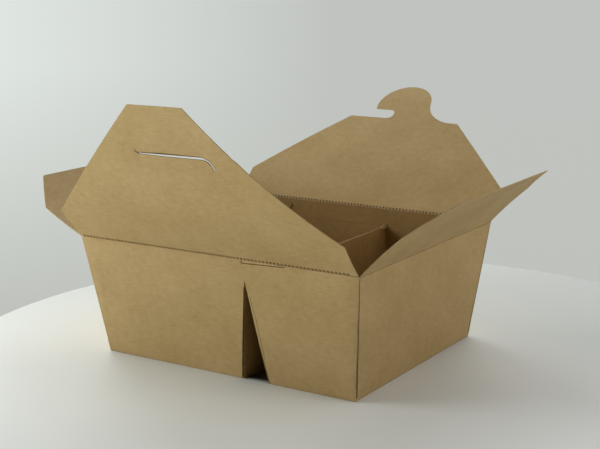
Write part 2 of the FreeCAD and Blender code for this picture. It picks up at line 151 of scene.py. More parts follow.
@dataclass(frozen=True)
class KraftBoard:
    """Unbleached kraft paperboard, machine finished and uncoated.

    Long brown fibres lie along the web of the paper machine, so the face is matt, softly clouded and
    finely streaked, with a few dark specks of bark.
    """

    name: str = "kraft_paperboard_machine_finished"
    shade: str = "#ac9162"
    deep: str = "#a18656"
    pale: str = "#b59b6d"
    speck: str = "#5b4526"
    cloud_size: float = 26.0
    floc_size: float = 3.4
    fibre_width: float = 0.7
    fibre_length: float = 5.0
    contrast: float = 0.14
    speck_spacing: float = 5.5
    speck_core: Point = (0.045, 0.075)
    speck_share: Point = (0.60, 0.75)
    speck_strength: float = 0.7
    roughness: float = 0.8
    gloss: float = 0.28
    bump: float = 0.2
    bump_height: float = 0.12

    def make(self) -> Material:
        """Build the material.

        Returns:
            The node material, read from the piece's own UV map in metres.
        """
        material = bpy.data.materials.new(self.name)
        tree = blank_tree(material)
        place = add_node(tree, "UVMap", {"uv_map": CHART}).outputs["UV"]
        # Clouds where the pulp settled thicker or thinner, a few centimetres across
        cloud = add_node(
            tree, "TexNoise", None,
            {"Vector": place, "Scale": 1 / (self.cloud_size * MM), "Detail": 3.0, "Roughness": 0.55},
        )
        # Flocs of fibre, drawn coarser than the real millimetre so that they still show in the picture
        floc = add_node(
            tree, "TexNoise", None,
            {"Vector": place, "Scale": 1 / (self.floc_size * MM), "Detail": 4.0, "Roughness": 0.6},
        )
        along = add_node(
            tree, "Mapping", None,
            {"Vector": place, "Scale": (1 / (self.fibre_length * MM), 1 / (self.fibre_width * MM), 1.0)},
        )
        # Fibres, drawn a little wider than real ones for the same reason
        fibre = add_node(
            tree, "TexNoise", None,
            {"Vector": along.outputs["Vector"], "Scale": 1.0, "Detail": 3.0, "Roughness": 0.65},
        )
        mix = add_node(
            tree, "Mix", {"data_type": "FLOAT"},
            {"Factor": 0.45, "A": cloud.outputs["Fac"], "B": floc.outputs["Fac"]},
        )
        mix = add_node(
            tree, "Mix", {"data_type": "FLOAT"},
            {"Factor": 0.35, "A": mix.outputs["Result"], "B": fibre.outputs["Fac"]},
        )
        tone = add_node(tree, "ValToRGB", None, {"Fac": mix.outputs["Result"]})
        ramp = tone.color_ramp
        ramp.elements[0].position = 0.5 - self.contrast
        ramp.elements[0].color = linear(self.deep)
        ramp.elements[1].position = 0.5 + self.contrast
        ramp.elements[1].color = linear(self.pale)
        ramp.elements.new(0.5).color = linear(self.shade)
        # Bark specks: small cores of sparse cells, and only some cells have one
        cells = add_node(
            tree, "TexVoronoi", {"feature": "F1"},
            {"Vector": place, "Scale": 1 / (self.speck_spacing * MM), "Randomness": 1.0},
        )
        limits = []
        for source, (low, high), start, end in (
            ("Distance", self.speck_core, 1.0, 0.0),
            ("Color", self.speck_share, 0.0, self.speck_strength),
        ):
            scale = {"From Min": low, "From Max": high, "To Min": start, "To Max": end}
            limits.append(
                add_node(tree, "MapRange", None, {"Value": cells.outputs[source], **scale})
            )
        spot = add_node(
            tree, "Math", {"operation": "MULTIPLY"},
            {0: limits[0].outputs["Result"], 1: limits[1].outputs["Result"]},
        )
        colour = add_node(
            tree, "Mix", {"data_type": "RGBA"},
            {"Factor": spot.outputs["Value"], 6: tone.outputs["Color"], 7: linear(self.speck)},
        )
        relief = add_node(
            tree, "Bump", None,
            {"Height": mix.outputs["Result"], "Strength": self.bump, "Distance": self.bump_height * MM},
        )
        shader = add_node(
            tree, "BsdfPrincipled", None,
            {
                "Base Color": colour.outputs[2],
                "Roughness": self.roughness,
                "IOR": 1.5,
                "Specular IOR Level": self.gloss,
                "Normal": relief.outputs["Normal"],
            },
        )
        add_node(tree, "OutputMaterial", None, {"Surface": shader.outputs["BSDF"]})
        return material


@dataclass(frozen=True)
class CutEdge:
    """The raw edge that the cutting die leaves: torn fibre ends, paler and rougher than the face."""

    name: str = "kraft_paperboard_die_cut_edge"
    shade: str = "#a48d63"
    pale: str = "#b09b71"
    ply_size: float = 1.2
    contrast: float = 0.12
    roughness: float = 0.95
    gloss: float = 0.2
    bump: float = 0.3
    bump_height: float = 0.05

    def make(self) -> Material:
        """Build the material.

        Returns:
            The node material, on Object coordinates.
        """
        material = bpy.data.materials.new(self.name)
        tree = blank_tree(material)
        place = add_node(tree, "TexCoord").outputs["Object"]
        # Fibre ends, a little coarser than real
        ends = add_node(
            tree, "TexNoise", None,
            {"Vector": place, "Scale": 1 / (self.ply_size * MM), "Detail": 3.0},
        )
        tone = add_node(tree, "ValToRGB", None, {"Fac": ends.outputs["Fac"]})
        tone.color_ramp.elements[0].position = 0.5 - self.contrast
        tone.color_ramp.elements[0].color = linear(self.shade)
        tone.color_ramp.elements[1].position = 0.5 + self.contrast
        tone.color_ramp.elements[1].color = linear(self.pale)
        relief = add_node(
            tree, "Bump", None,
            {"Height": ends.outputs["Fac"], "Strength": self.bump, "Distance": self.bump_height * MM},
        )
        shader = add_node(
            tree, "BsdfPrincipled", None,
            {
                "Base Color": tone.outputs["Color"],
                "Roughness": self.roughness,
                "Specular IOR Level": self.gloss,
                "Normal": relief.outputs["Normal"],
            },
        )
        add_node(tree, "OutputMaterial", None, {"Surface": shader.outputs["BSDF"]})
        return material


@dataclass(frozen=True)
class Finishes:
    """The materials that every board piece carries, in the order of its slots."""

    board: Material
    edge: Material
    inside: Material
    crease: Material

    def put_on(self, piece: Object) -> None:
        """Fill the piece's material slots."""
        piece.data.materials.clear()
        for material in (self.board, self.edge, self.inside, self.crease):
            piece.data.materials.append(material)


def pick(piece: Object) -> None:
    """Make a piece the only selected and active object."""
    bpy.ops.object.select_all(action="DESELECT")
    piece.select_set(True)
    bpy.context.view_layer.objects.active = piece


def edit(piece: Object) -> None:
    """Go into edit mode on a piece with all of it selected."""
    pick(piece)
    bpy.ops.object.mode_set(mode="EDIT")
    bpy.ops.mesh.select_all(action="SELECT")


def leave() -> None:
    """Go back to object mode."""
    bpy.ops.object.mode_set(mode="OBJECT")


def apply_modifier(piece: Object, modifier: Modifier) -> None:
    """Apply one modifier of a piece."""
    pick(piece)
    bpy.ops.object.modifier_apply(modifier=modifier.name)


def turn_outwards(piece: Object) -> None:
    """Turn all of a piece's faces outwards."""
    edit(piece)
    bpy.ops.mesh.normals_make_consistent(inside=False)
    leave()


def mend(piece: Object, distance: float = 0.002) -> None:
    """Merge doubled points closer than a distance in millimetres and turn all faces outwards."""
    edit(piece)
    bpy.ops.mesh.remove_doubles(threshold=distance * MM)
    leave()
    turn_outwards(piece)


def reshape(piece: Object, place: Callable[[float, float, float], Sequence[float]]) -> None:
    """Move every point of a piece.

    Args:
        piece: the piece.
        place: gives a point's new place from its old X, Y and Z, in millimetres.
    """
    for vertex in piece.data.vertices:
        vertex.co = Vector(place(*(c / MM for c in vertex.co))) * MM


def lay_pattern(piece: Object, spread: Callable[[Vector, Vector], Point]) -> None:
    """Lay the board's pattern on a piece.

    Args:
        piece: the piece.
        spread: gives the place on the pattern from a corner's place and its face's normal, in metres.
    """
    mesh = piece.data
    chart = mesh.uv_layers.get(CHART) or mesh.uv_layers.new(name=CHART)
    for polygon in mesh.polygons:
        for loop in polygon.loop_indices:
            chart.data[loop].uv = spread(mesh.vertices[mesh.loops[loop].vertex_index].co, polygon.normal)


def block(name: str, low: Sequence[float], high: Sequence[float]) -> Object:
    """Add a cube stretched between two corners, in millimetres.

    Args:
        name: its name.
        low: the lowest corner.
        high: the highest corner.

    Returns:
        The object, at the origin with its place in its mesh.
    """
    bpy.ops.object.select_all(action="DESELECT")
    bpy.ops.mesh.primitive_cube_add(size=1)
    piece = bpy.context.active_object
    piece.name = name
    for vertex in piece.data.vertices:
        vertex.co = Vector((high[i] if vertex.co[i] > 0 else low[i]) * MM for i in range(3))
    return piece


def prism(name: str, outline: Sequence[Point], low: float, high: float) -> Object:
    """Raise a flat outline to a prism, in millimetres.

    Args:
        name: its name.
        outline: the outline's corners, anticlockwise.
        low: its underside.
        high: its top.

    Returns:
        The object.
    """
    bpy.ops.object.select_all(action="DESELECT")
    bpy.ops.mesh.primitive_circle_add(vertices=len(outline), radius=1, fill_type="NGON")
    piece = bpy.context.active_object
    piece.name = name
    for vertex, (x, y) in zip(piece.data.vertices, outline):
        vertex.co = Vector((x, y, low)) * MM
    edit(piece)
    bpy.ops.mesh.extrude_region_move(TRANSFORM_OT_translate={"value": (0, 0, (high - low) * MM)})
    leave()
    turn_outwards(piece)
    return piece


def cut(piece: Object, cutter: Object, side: Side) -> None:
    """Cut a piece by another, which is used up.

    Args:
        piece: what is cut.
        cutter: the closed shape that cuts it.
        side: whether the part inside the cutter is kept or removed.
    """
    modifier = piece.modifiers.new("cut", "BOOLEAN")
    modifier.operation = side.value
    modifier.solver = "EXACT"
    modifier.object = cutter
    apply_modifier(piece, modifier)
    bpy.data.objects.remove(cutter)


def repeat(piece: Object, count: int, step: Place) -> None:
    """Copy a shape along a line.

    Args:
        piece: the shape.
        count: how many there are in all.
        step: from one to the next, in millimetres.
    """
    modifier = piece.modifiers.new("row", "ARRAY")
    modifier.count = count
    modifier.use_relative_offset = False
    modifier.use_constant_offset = True
    modifier.constant_offset_displace = Vector(step) * MM
    apply_modifier(piece, modifier)


def slice_up(piece: Object, axis: int, low: float, high: float, pitch: float) -> None:
    """Cut a piece's faces along evenly spaced planes square to an axis, so that it can be curved.

    Args:
        piece: what is sliced.
        axis: 0, 1 or 2 for X, Y or Z.
        low: where the piece begins along it, in millimetres.
        high: where it ends.
        pitch: about how far apart the planes are.
    """
    count = max(2, round((high - low) / pitch))
    normal = [float(i == axis) for i in range(3)]
    edit(piece)
    for i in range(1, count):
        place = low + (high - low) * i / count
        bpy.ops.mesh.select_all(action="SELECT")
        bpy.ops.mesh.bisect(plane_co=[place * MM * part for part in normal], plane_no=normal)
    leave()


def tie_row() -> tuple[float, float, int]:
    """Where the first tie between two cuts starts, how long a tie is and how many stand in the row."""
    start = -CREASE_HALF + CUT_PITCH + CUT_LENGTH
    return start, CUT_PITCH - CUT_LENGTH, int((TIED_TO + CREASE_HALF - 2 * CUT_PITCH) / CUT_PITCH)


def arc(centre: Point, radius: float, start: float, end: float, count: int) -> list[Point]:
    """Points of an arc.

    Args:
        centre: its middle.
        radius: its radius.
        start: angle of its first point, in degrees.
        end: angle of its last point.
        count: number of points, with both ends.

    Returns:
        The points.
    """
    angles = [math.radians(start + (end - start) * i / (count - 1)) for i in range(count)]
    return [(centre[0] + radius * math.cos(a), centre[1] + radius * math.sin(a)) for a in angles]


def round_corner(before: Point, corner: Point, after: Point, radius: float) -> list[Point]:
    """Round an outline's corner.

    Args:
        before: a point on the line that comes in.
        corner: the sharp corner.
        after: a point on the line that goes out.
        radius: the radius.

    Returns:
        The arc's points.
    """
    c = Vector(corner)
    into = (Vector(before) - c).normalized()
    out = (Vector(after) - c).normalized()
    half = into.angle(out) / 2
    middle = c + (into + out).normalized() * radius / math.sin(half)
    reach = radius / math.tan(half)
    first, last = c + into * reach - middle, c + out * reach - middle
    turn = first.angle_signed(last)
    points = []
    for i in range(5):
        spin = -turn * i / 4
        x = first.x * math.cos(spin) - first.y * math.sin(spin)
        y = first.x * math.sin(spin) + first.y * math.cos(spin)
        points.append((middle.x + x, middle.y + y))
    return points


def rounded(line: Sequence[Point], radii: Sequence[float]) -> list[Point]:
    """Round the corners of an open line.

    Args:
        line: its corners, with both ends.
        radii: a radius for each corner between the ends.

    Returns:
        The points of the arcs, without the ends.
    """
    corners = zip(line, line[1:], line[2:], radii)
    return [point for before, corner, after, r in corners for point in round_corner(before, corner, after, r)]


def finish_piece(piece: Object, body: str, *nodes: str, angle: float = 32.0) -> None:
    """Smooth a finished piece, hang it on its body, hide the solids that it replaces and log it.

    Args:
        piece: the piece.
        body: the body that it rides on.
        nodes: the solids that it replaces.
        angle: edges sharper than this stay sharp, in degrees.
    """
    pick(piece)
    bpy.ops.object.shade_smooth_by_angle(angle=math.radians(angle))
    bpy.ops.object.select_all(action="DESELECT")
    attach(piece, body)
    if nodes:
        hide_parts(*nodes)
    LOG.info("%s: %d faces, rides on %s", piece.name, len(piece.data.polygons), body)


@dataclass(frozen=True)
class Ripple:
    """Shallow crossed waves that a panel of board keeps, in millimetres."""

    height: float
    length_x: float
    length_y: float
    start_x: float = 0.0
    start_y: float = 0.0

    def at(self, x: float, y: float) -> float:
        """Height of the waves at a place."""
        across = math.sin(x / self.length_x + self.start_x)
        return self.height * across * math.sin(y / self.length_y + self.start_y)


@dataclass
class Flap:
    """A flap of the lid, cut flat, bowed and stood on its crease.

    Its own X runs along the crease and its own Y to the free edge. The board bows towards its own Z.
    """

    node: str
    body: str
    crease: Place
    turn: float
    tilt: float
    reach: float
    bow: float
    outline: list[Point]
    wave: Field
    slots: list[list[Point]] = field(default_factory=list)
    cell: Point = (3.2, 2.6)
    lip_width: float = 0.4
    lip_shift: float = 0.15
    lip_depth: float = 0.1
    perforated: bool = False
    dash_depth: float = 1.0
    skin: float = -1.0
    ledge: float = 0.0
    # How far past the cuts and the slots the painted crease shade reaches
    shade_margin: float = 0.1

    def sheet(self) -> Object:
        """Cut the flat sheet.

        Returns:
            The sheet, in the flap's own flat frame.
        """
        half = max(abs(x) for x, _ in self.outline) + CLEAR
        end = max(y for _, y in self.outline) + CLEAR
        bpy.ops.object.select_all(action="DESELECT")
        bpy.ops.mesh.primitive_grid_add(
            x_subdivisions=round(2 * half / self.cell[0]), y_subdivisions=round(end / self.cell[1]), size=2
        )
        piece = bpy.context.active_object
        piece.name = self.node + "_board"
        nose = -BOARD / 2
        for vertex in piece.data.vertices:
            y = nose + (end - nose) * (vertex.co.y + 1) / 2
            vertex.co = Vector((vertex.co.x * half, y, 0)) * MM
        thick = piece.modifiers.new("board", "SOLIDIFY")
        thick.thickness = BOARD * MM
        thick.offset = 0
        apply_modifier(piece, thick)
        cut(piece, prism("outline", self.outline, -CLEAR, CLEAR), Side.KEEP)
        for slot in self.slots:
            cut(piece, prism("slot", slot, -CLEAR, CLEAR), Side.REMOVE)
            # A strip a hair deep along the slot's upper lip takes the dark crease board: a painted shadow
            # line above the slit
            lip = [(x + self.lip_shift, y + self.lip_width) for x, y in slot]
            cut(piece, prism("lip", lip, BOARD / 2 - self.lip_depth, CLEAR), Side.REMOVE)
        if self.perforated:
            self.perforate(piece, half)
        return piece

    def perforate(self, piece: Object, half: float) -> None:
        """Cut the crease's row of dashes, and the ledge where the flap has one.

        Args:
            piece: the flat sheet.
            half: half of the sheet's width.
        """
        over = CLEAR / 2
        start = -CREASE_HALF + CUT_PITCH
        dash = block("dash", (start, -over, self.skin), (start + CUT_LENGTH, self.dash_depth, over))
        repeat(dash, int((2 * CREASE_HALF - 3 * CUT_PITCH) / CUT_PITCH) + 1, (CUT_PITCH, 0, 0))
        cut(piece, dash, Side.REMOVE)
        if not self.ledge:
            return
        # Only the inner ply reaches down to the wall, and between the cuts the ties take its place
        wide = half + over
        cut(piece, block("ledge", (-wide, -over, self.skin), (wide, self.ledge, over)), Side.REMOVE)
        first, length, count = tie_row()
        tie = block("tie", (first, -over, -over), (first + length, self.ledge, over))
        repeat(tie, count, (CUT_PITCH, 0, 0))
        cut(piece, tie, Side.REMOVE)

    def in_slot(self, place: Vector) -> bool:
        """Whether a place on the flat sheet lies in a slot or on its lips."""
        margin = self.lip_width + self.shade_margin * 2
        return any(
            min(x for x, _ in slot) - margin < place.x < max(x for x, _ in slot) + margin
            and min(y for _, y in slot) - margin < place.y < max(y for _, y in slot) + margin
            for slot in self.slots
        )

    def dress(self, piece: Object, finishes: Finishes) -> None:
        """Lay the board's pattern on the flat sheet, give its cut edges their own finish and paint shade in
        the crease's cuts and along the slot.

        Args:
            piece: the flat sheet.
            finishes: the board's materials.
        """
        finishes.put_on(piece)
        for polygon in piece.data.polygons:
            middle = polygon.center / MM
            edge = abs(polygon.normal.z) < 0.5
            sunk = abs(middle.z) < BOARD / 2 - NEAR
            # Edges and sunk faces in the crease's cuts and around the slots take the dark crease board:
            # painted shade
            crease_shade = middle.y < self.dash_depth + self.shade_margin or self.in_slot(middle)
            rim = Face.CREASE if crease_shade else Face.CUT_EDGE
            polygon.material_index = (rim if edge or (sunk and crease_shade) else Face.SURFACE).value
        # Each flap shows another part of the pattern
        shift = Vector((self.crease[0] * 0.37 + 0.11, self.tilt * 0.013))
        lay_pattern(piece, lambda spot, _: (spot.x + shift.x, spot.y + shift.y))

    def bent(self, x: float, y: float, z: float) -> Place:
        """Where a point of the flat sheet goes once the flap is bowed and rounded at its root."""
        radius = (self.reach**2 / 4 + self.bow**2) / (2 * self.bow)
        if y < 0:
            z *= math.sqrt(max(0.0, 1 - (y / (BOARD / 2)) ** 2) * 0.8 + 0.2)
        lean = (y - self.reach / 2) / radius
        level = math.sqrt(1 - lean**2)
        height = radius * level - (radius - self.bow) + self.wave(x, y)
        return x, y + z * lean, height + z * level

    def build(self, finishes: Finishes) -> Object:
        """Make the flap and stand it on its crease.

        Args:
            finishes: the board's materials.

        Returns:
            The finished piece.
        """
        piece = self.sheet()
        mend(piece)
        self.dress(piece, finishes)
        reshape(piece, self.bent)
        place = Matrix.Translation(Vector(self.crease) * MM)
        place = place @ Matrix.Rotation(math.radians(self.turn), 4, "Z")
        place = place @ Matrix.Rotation(math.radians(self.tilt), 4, "X")
        piece.data.transform(place)
        finish_piece(piece, self.body, self.node)
        return piece


@dataclass
class Lid:
    """The four flaps, open as they stand when the box is filled."""

    shoulder: float = 83.3
    side_crease_x: float = 82.7018
    side_crease_z: float = 62.9
    front_lean: float = 27.0
    front_bow: float = 6.4
    front_ledge: float = 0.15
    front_skin: float = -0.12
    front_dash: float = 1.5
    front_shoulder: float = 20.0
    front_tip: float = 15.5
    front_reach: float = 84.5
    front_ripple: Ripple = Ripple(0.16, 19, 15, 0.6, 0.4)
    slit_place: float = 61.6
    slit_left: float = 14.6
    slit_bend: float = 21.0
    slit_round: float = 5.8
    slit_width: float = 0.85
    slit_hook: Point = (2.0, 1.3)
    hook_width: float = 0.5
    lower_lip: float = 0.4
    upper_lip: float = -0.5
    lips_part: float = 1.3
    lips_cross: float = 0.6
    back_lean: float = 52.8
    back_bow: float = 2.6
    back_skin: float = -0.08
    back_dash: float = 0.85
    back_shoulder: float = 19.5
    back_edge: float = 69.1
    back_tip: float = 35.8
    back_droop: float = 1.6
    back_ripple: Ripple = Ripple(0.12, 22, 17, 1.1, 0.9)
    tab_place: float = -5.4
    tab_rise: float = 13.2
    tab_radius: float = 17.2
    tab_hollow: float = 20.0
    hook_slot: float = 7.9
    hook_end: float = -8.1
    side_root: float = 69.7
    side_reach: float = 52.3
    side_shoulder: float = 29.3
    side_shoulder_inset: float = 1.1
    side_tip_inset: float = 19.7

    def slit(self) -> list[Point]:
        """Outline of the curved slit that takes the tab, with a small hook at its left end.

        Returns:
            The outline, anticlockwise.
        """
        low, high = self.slit_place - self.slit_width / 2, self.slit_place + self.slit_width / 2
        centre = (self.slit_bend, self.slit_place - self.slit_round)
        inner, outer = self.slit_round - self.slit_width / 2, self.slit_round + self.slit_width / 2
        hook = (-self.slit_left - self.slit_hook[0], self.slit_place + self.slit_hook[1])
        return [
            (-self.slit_left, low),
            *arc(centre, inner, 90, 0, 9),
            *arc(centre, outer, 0, 90, 9),
            (-self.slit_left, high),
            (hook[0], hook[1] + self.hook_width / 2),
            (hook[0], hook[1] - self.hook_width / 2),
        ]

    def front_wave(self, x: float, y: float) -> float:
        """How far the front flap's board leaves its arc: it ripples, and the slit's lips part."""
        gap = y - self.slit_place
        lower, upper = self.lower_lip * smooth_step(-5, 0, gap), self.upper_lip * smooth_step(3, 0, gap)
        left = smooth_step(-self.slit_left - 1, -self.slit_left + 14, x)
        right = smooth_step(self.slit_bend + 7, self.slit_bend - 2, x)
        span = self.lips_part * left * right - self.lips_cross
        return smooth_step(0, 25, y) * self.front_ripple.at(x, y) + (lower if gap < 0 else upper) * span

    def front(self) -> Flap:
        """The front flap, wide at its shoulders, with the curved slit."""
        tip = self.front_reach + BOARD * 0.2
        right = [(CREASE_HALF, 0), (self.shoulder, self.front_shoulder), (self.front_tip, tip)]
        left = [(-x, y) for x, y in reversed(right)]
        corners = rounded(right + left, (1.2, 1.0, 1.0, 1.2))
        return Flap(
            "front_flap", "front", (0, -CREASE_Y, HEIGHT), 0, 90 + self.front_lean, self.front_reach,
            self.front_bow, [(-CREASE_HALF, -BOARD), (CREASE_HALF, -BOARD), *corners], self.front_wave,
            [self.slit()], perforated=True, dash_depth=self.front_dash, skin=self.front_skin,
            ledge=self.front_ledge,
        )

    def back_wave(self, x: float, y: float) -> float:
        """How far the back flap's board leaves its arc: it ripples, and its right side droops."""
        droop = self.back_droop * smooth_step(-30, 75, x) * smooth_step(0, 75, y)
        return smooth_step(0, 20, y) * self.back_ripple.at(x, y) - droop

    def back(self) -> Flap:
        """The back flap, shorter, with the round tab whose hook catches in the slit."""
        level = self.back_edge + self.tab_rise
        drop = self.tab_hollow - self.tab_rise
        hollow = self.tab_place + math.sqrt((self.tab_radius + self.tab_hollow) ** 2 - drop**2)
        meets = math.degrees(math.asin(drop / (self.tab_radius + self.tab_hollow)))
        hook = 180 + math.degrees(math.asin((self.tab_rise - self.hook_slot) / self.tab_radius))
        slot_end = (self.hook_end - self.hook_slot / 2, self.back_edge + self.hook_slot / 2)
        right = [(CREASE_HALF, 0), (self.shoulder, self.back_shoulder), (self.back_tip, self.back_edge)]
        left = [(-x, y) for x, y in reversed(right)]
        outline = [
            (-CREASE_HALF, -BOARD),
            (CREASE_HALF, -BOARD),
            *rounded([*right, (hollow, self.back_edge)], (1.2, 2.0)),
            *arc((hollow, self.back_edge + self.tab_hollow), self.tab_hollow, 270, 180 + meets, 13),
            *arc((self.tab_place, level), self.tab_radius, meets, hook, 41)[1:],
            *arc(slot_end, self.hook_slot / 2, 90, -90, 11),
            *rounded([(-10, self.back_edge), *left], (1.0, 1.2)),
        ]
        return Flap(
            "back_flap", "back", (0, CREASE_Y, HEIGHT), 0, 90 - self.back_lean, level + self.tab_radius,
            self.back_bow, outline, self.back_wave, perforated=True, dash_depth=self.back_dash,
            skin=self.back_skin,
        )

    def side(self, name: str, sign: int, lean: float, bow: float, phase: float, droop: float) -> Flap:
        """One of the side flaps, which fold in first.

        Args:
            name: left or right, as its body is called.
            sign: 1 for the right flap, -1 for the left.
            lean: how far it leans out from upright, in degrees.
            bow: its bow.
            phase: where its waves start.
            droop: how far its back corner hangs towards its outside.

        Returns:
            The flap.
        """
        right = [
            (self.side_root, 0),
            (self.side_root - self.side_shoulder_inset, self.side_shoulder),
            (self.side_root - self.side_tip_inset, self.side_reach - BOARD / 2),
        ]
        left = [(-x, y) for x, y in reversed(right)]
        corners = rounded(right + left, (2.5, 2.5, 2.5, 2.5))
        ripple = Ripple(0.1, 16, 18, phase, phase + math.pi / 2)

        def wave(x: float, y: float) -> float:
            """How far the side flap's board leaves its arc."""
            hang = sign * droop * smooth_step(10, -60, x) * smooth_step(5, 50, y)
            return smooth_step(0, 18, y) * ripple.at(x, y) - hang

        return Flap(
            name + "_flap", name, (sign * self.side_crease_x, 0, self.side_crease_z), -90, 90 - sign * lean,
            self.side_reach, bow, [(-self.side_root, -BOARD), (self.side_root, -BOARD), *corners], wave,
        )

    def build(self, finishes: Finishes) -> None:
        """Make all four flaps."""
        left = self.side("left", -1, lean=61.5, bow=1.7, phase=0.3, droop=3.2)
        right = self.side("right", 1, lean=49.3, bow=1.65, phase=1.4, droop=0.0)
        for flap in (self.front(), self.back(), left, right):
            flap.build(finishes)


@dataclass
class Tray:
    """The tapered tray with its pleated divider and folded bellows corners."""

    node: str = "box_body"
    base_length: float = 150.5
    base_width: float = 121.0
    top_length: float = 166.0
    top_width: float = 141.0
    step_left: float = 18.6
    step_right: float = 43.0
    step_drop: float = 1.7
    step_top: float = 0.75
    score_width: float = 0.5
    score_depth: float = 0.38
    notch_foot: float = 8.3
    notch_height: float = 52.3
    pleat_gap: float = 1.15
    pleat_depth: float = 1.28
    pleat_end: float = 3.0
    crease_line: tuple[Point, ...] = ((13, 0.75), (31, 1.6), (45, 0.95))
    crease_width: float = 0.28
    crease_depth: float = 0.22
    pale_strip_width: float = 0.62
    pale_strip_depth: float = 0.03
    web_ends: Point = (36.0, 48.5)
    web_low: float = 42.0
    web_high: float = 58.0
    web_set_back: float = 8.0
    corner_foot: float = 1.0
    corner_top: float = 0.42
    corner_depth: float = 1.6
    corner_ends: Point = (1.8, 61.5)
    corner_sink: float = 0.06
    proud: float = 0.6
    rim_zone: float = 60.0
    fold_radius: float = 0.3
    slice_pitch: float = 9.0
    long_swell: float = 0.34
    long_ripple: Ripple = Ripple(0.12, 13, 9, 0.8)
    short_swell: float = 0.30
    short_ripple: Ripple = Ripple(0.12, 15, 10, 1.9, 0.5)
    right_panel_swell: float = 0.7
    pattern_step: Point = (0.31, 0.17)

    def half_length(self, z: float) -> float:
        """Half of the tray's outside length at a height."""
        return (self.base_length + (self.top_length - self.base_length) * z / HEIGHT) / 2

    def half_width(self, z: float) -> float:
        """Half of the tray's outside width at a height."""
        return (self.base_width + (self.top_width - self.base_width) * z / HEIGHT) / 2

    def start(self) -> Object:
        """Take a merged copy of the solid's mesh, with its flat faces whole.

        Returns:
            The copy.
        """
        piece = bpy.data.objects.new("tray_board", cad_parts[self.node].data.copy())
        bpy.context.scene.collection.objects.link(piece)
        mend(piece, 0.001)
        bpy.ops.mesh.customdata_custom_splitnormals_clear()
        edit(piece)
        bpy.ops.mesh.dissolve_limited(angle_limit=math.radians(0.3))
        leave()
        return piece

    def cut_wall(self, piece: Object, outline: Sequence[Point], depth: float, side: int) -> None:
        """Cut a groove into the outside of a long wall.

        Args:
            piece: the tray.
            outline: the groove's corners by X and Z, seen from the front, anticlockwise.
            depth: how deep it goes behind the wall's outside face.
            side: -1 for the front wall, 1 for the back wall.
        """
        cutter = prism("groove", outline, -self.proud, depth)
        reshape(cutter, lambda x, z, into: (x, side * (self.half_width(z) - into), z))
        turn_outwards(cutter)
        cut(piece, cutter, Side.REMOVE)

    def deepen_corners(self, piece: Object) -> None:
        """Deepen the upright gaps beside the long walls, where the board turns into the bellows webs."""
        low, high = self.corner_ends

        def at_corner(hand: float, z: float, into: float) -> Place:
            """Where a corner of the cutter goes at the right back corner of the tray."""
            width = self.corner_foot + (self.corner_top - self.corner_foot) * z / HEIGHT
            y = self.half_width(z) - BOARD + self.corner_sink - (width if hand < 0 else 0.0)
            return self.half_length(z) - into, y, z

        for side in ((-1, -1, 1), (-1, 1, 1), (1, -1, 1), (1, 1, 1)):
            outline = [(-1, low), (1, low), (1, high), (-1, high)]
            cutter = prism("gap", outline, -self.proud, self.corner_depth)
            reshape(cutter, lambda *place: [s * c for s, c in zip(side, at_corner(*place))])
            turn_outwards(cutter)
            cut(piece, cutter, Side.REMOVE)

    def score_step(self, piece: Object) -> None:
        """Press the stepped score into the front wall, just below the crease at the divider."""
        left, right = self.step_left, self.step_right
        low, high = HEIGHT - self.step_drop, HEIGHT - self.step_top
        wide = self.score_width
        line = [(left, low - wide), (right, high - wide), (right, high), (left, low)]
        end = [(left - wide, low - wide), (left, low - wide), (left, high + 0.1), (left - wide, high + 0.1)]
        for groove in (line, end):
            self.cut_wall(piece, groove, self.score_depth, -1)

    def beside_notch(self, ends: Sequence[Point], wide: float) -> list[Point]:
        """A slanted strip beside the V's right edge.

        Args:
            ends: the height of its lower and upper end, each with its distance from the V's edge.
            wide: its width.

        Returns:
            Its corners by X and Z.
        """
        foot, head = self.notch_foot, self.notch_height
        (x_low, z_low), (x_high, z_high) = [(DIVIDER + foot * (1 - z / head) + out, z) for z, out in ends]
        return [(x_low, z_low), (x_low + wide, z_low), (x_high + wide, z_high), (x_high, z_high)]

    def open_pleats(self, piece: Object) -> None:
        """Part the divider's pleats from the wall panels on both sides of each V."""
        head = self.notch_height - self.pleat_end
        left, over = DIVIDER - self.notch_foot - BOARD, self.notch_height - 4
        gap = [(left, -0.5), (left + self.pleat_gap, -0.5), (DIVIDER - 0.3, head), (DIVIDER - 0.9, head)]
        for side in (-1, 1):
            self.cut_wall(piece, gap, self.pleat_depth, side)
            # The other side is only creased, in a line that parts from the edge halfway up
            for ends in zip(self.crease_line, self.crease_line[1:]):
                self.cut_wall(piece, self.beside_notch(ends, self.crease_width), self.crease_depth, side)
            # A strip a hair deep beside the V's right edge takes the paler cut-edge board
            pale_strip = self.beside_notch(((2, -0.5), (over, -0.5)), self.pale_strip_width + 0.5)
            self.cut_wall(piece, pale_strip, self.pale_strip_depth, side)

    def round_folds(self, piece: Object) -> None:
        """Round the long walls' upright folds at the four corners."""
        edit(piece)
        bpy.ops.mesh.select_all(action="DESELECT")
        bpy.ops.mesh.select_mode(type="EDGE")
        leave()
        mesh = piece.data
        for item in mesh.edges:
            ends = [mesh.vertices[i].co / MM for i in item.vertices]
            item.select = all(
                abs(abs(p.x) - self.half_length(p.z)) < 2 * NEAR
                and abs(abs(p.y) - self.half_width(p.z)) < 2 * NEAR
                and p.z > BOARD
                for p in ends
            )
        pick(piece)
        bpy.ops.object.mode_set(mode="EDIT")
        bpy.ops.mesh.bevel(offset=self.fold_radius * MM, segments=3, affect="EDGES", clamp_overlap=True)
        bpy.ops.mesh.select_mode(type="VERT")
        leave()

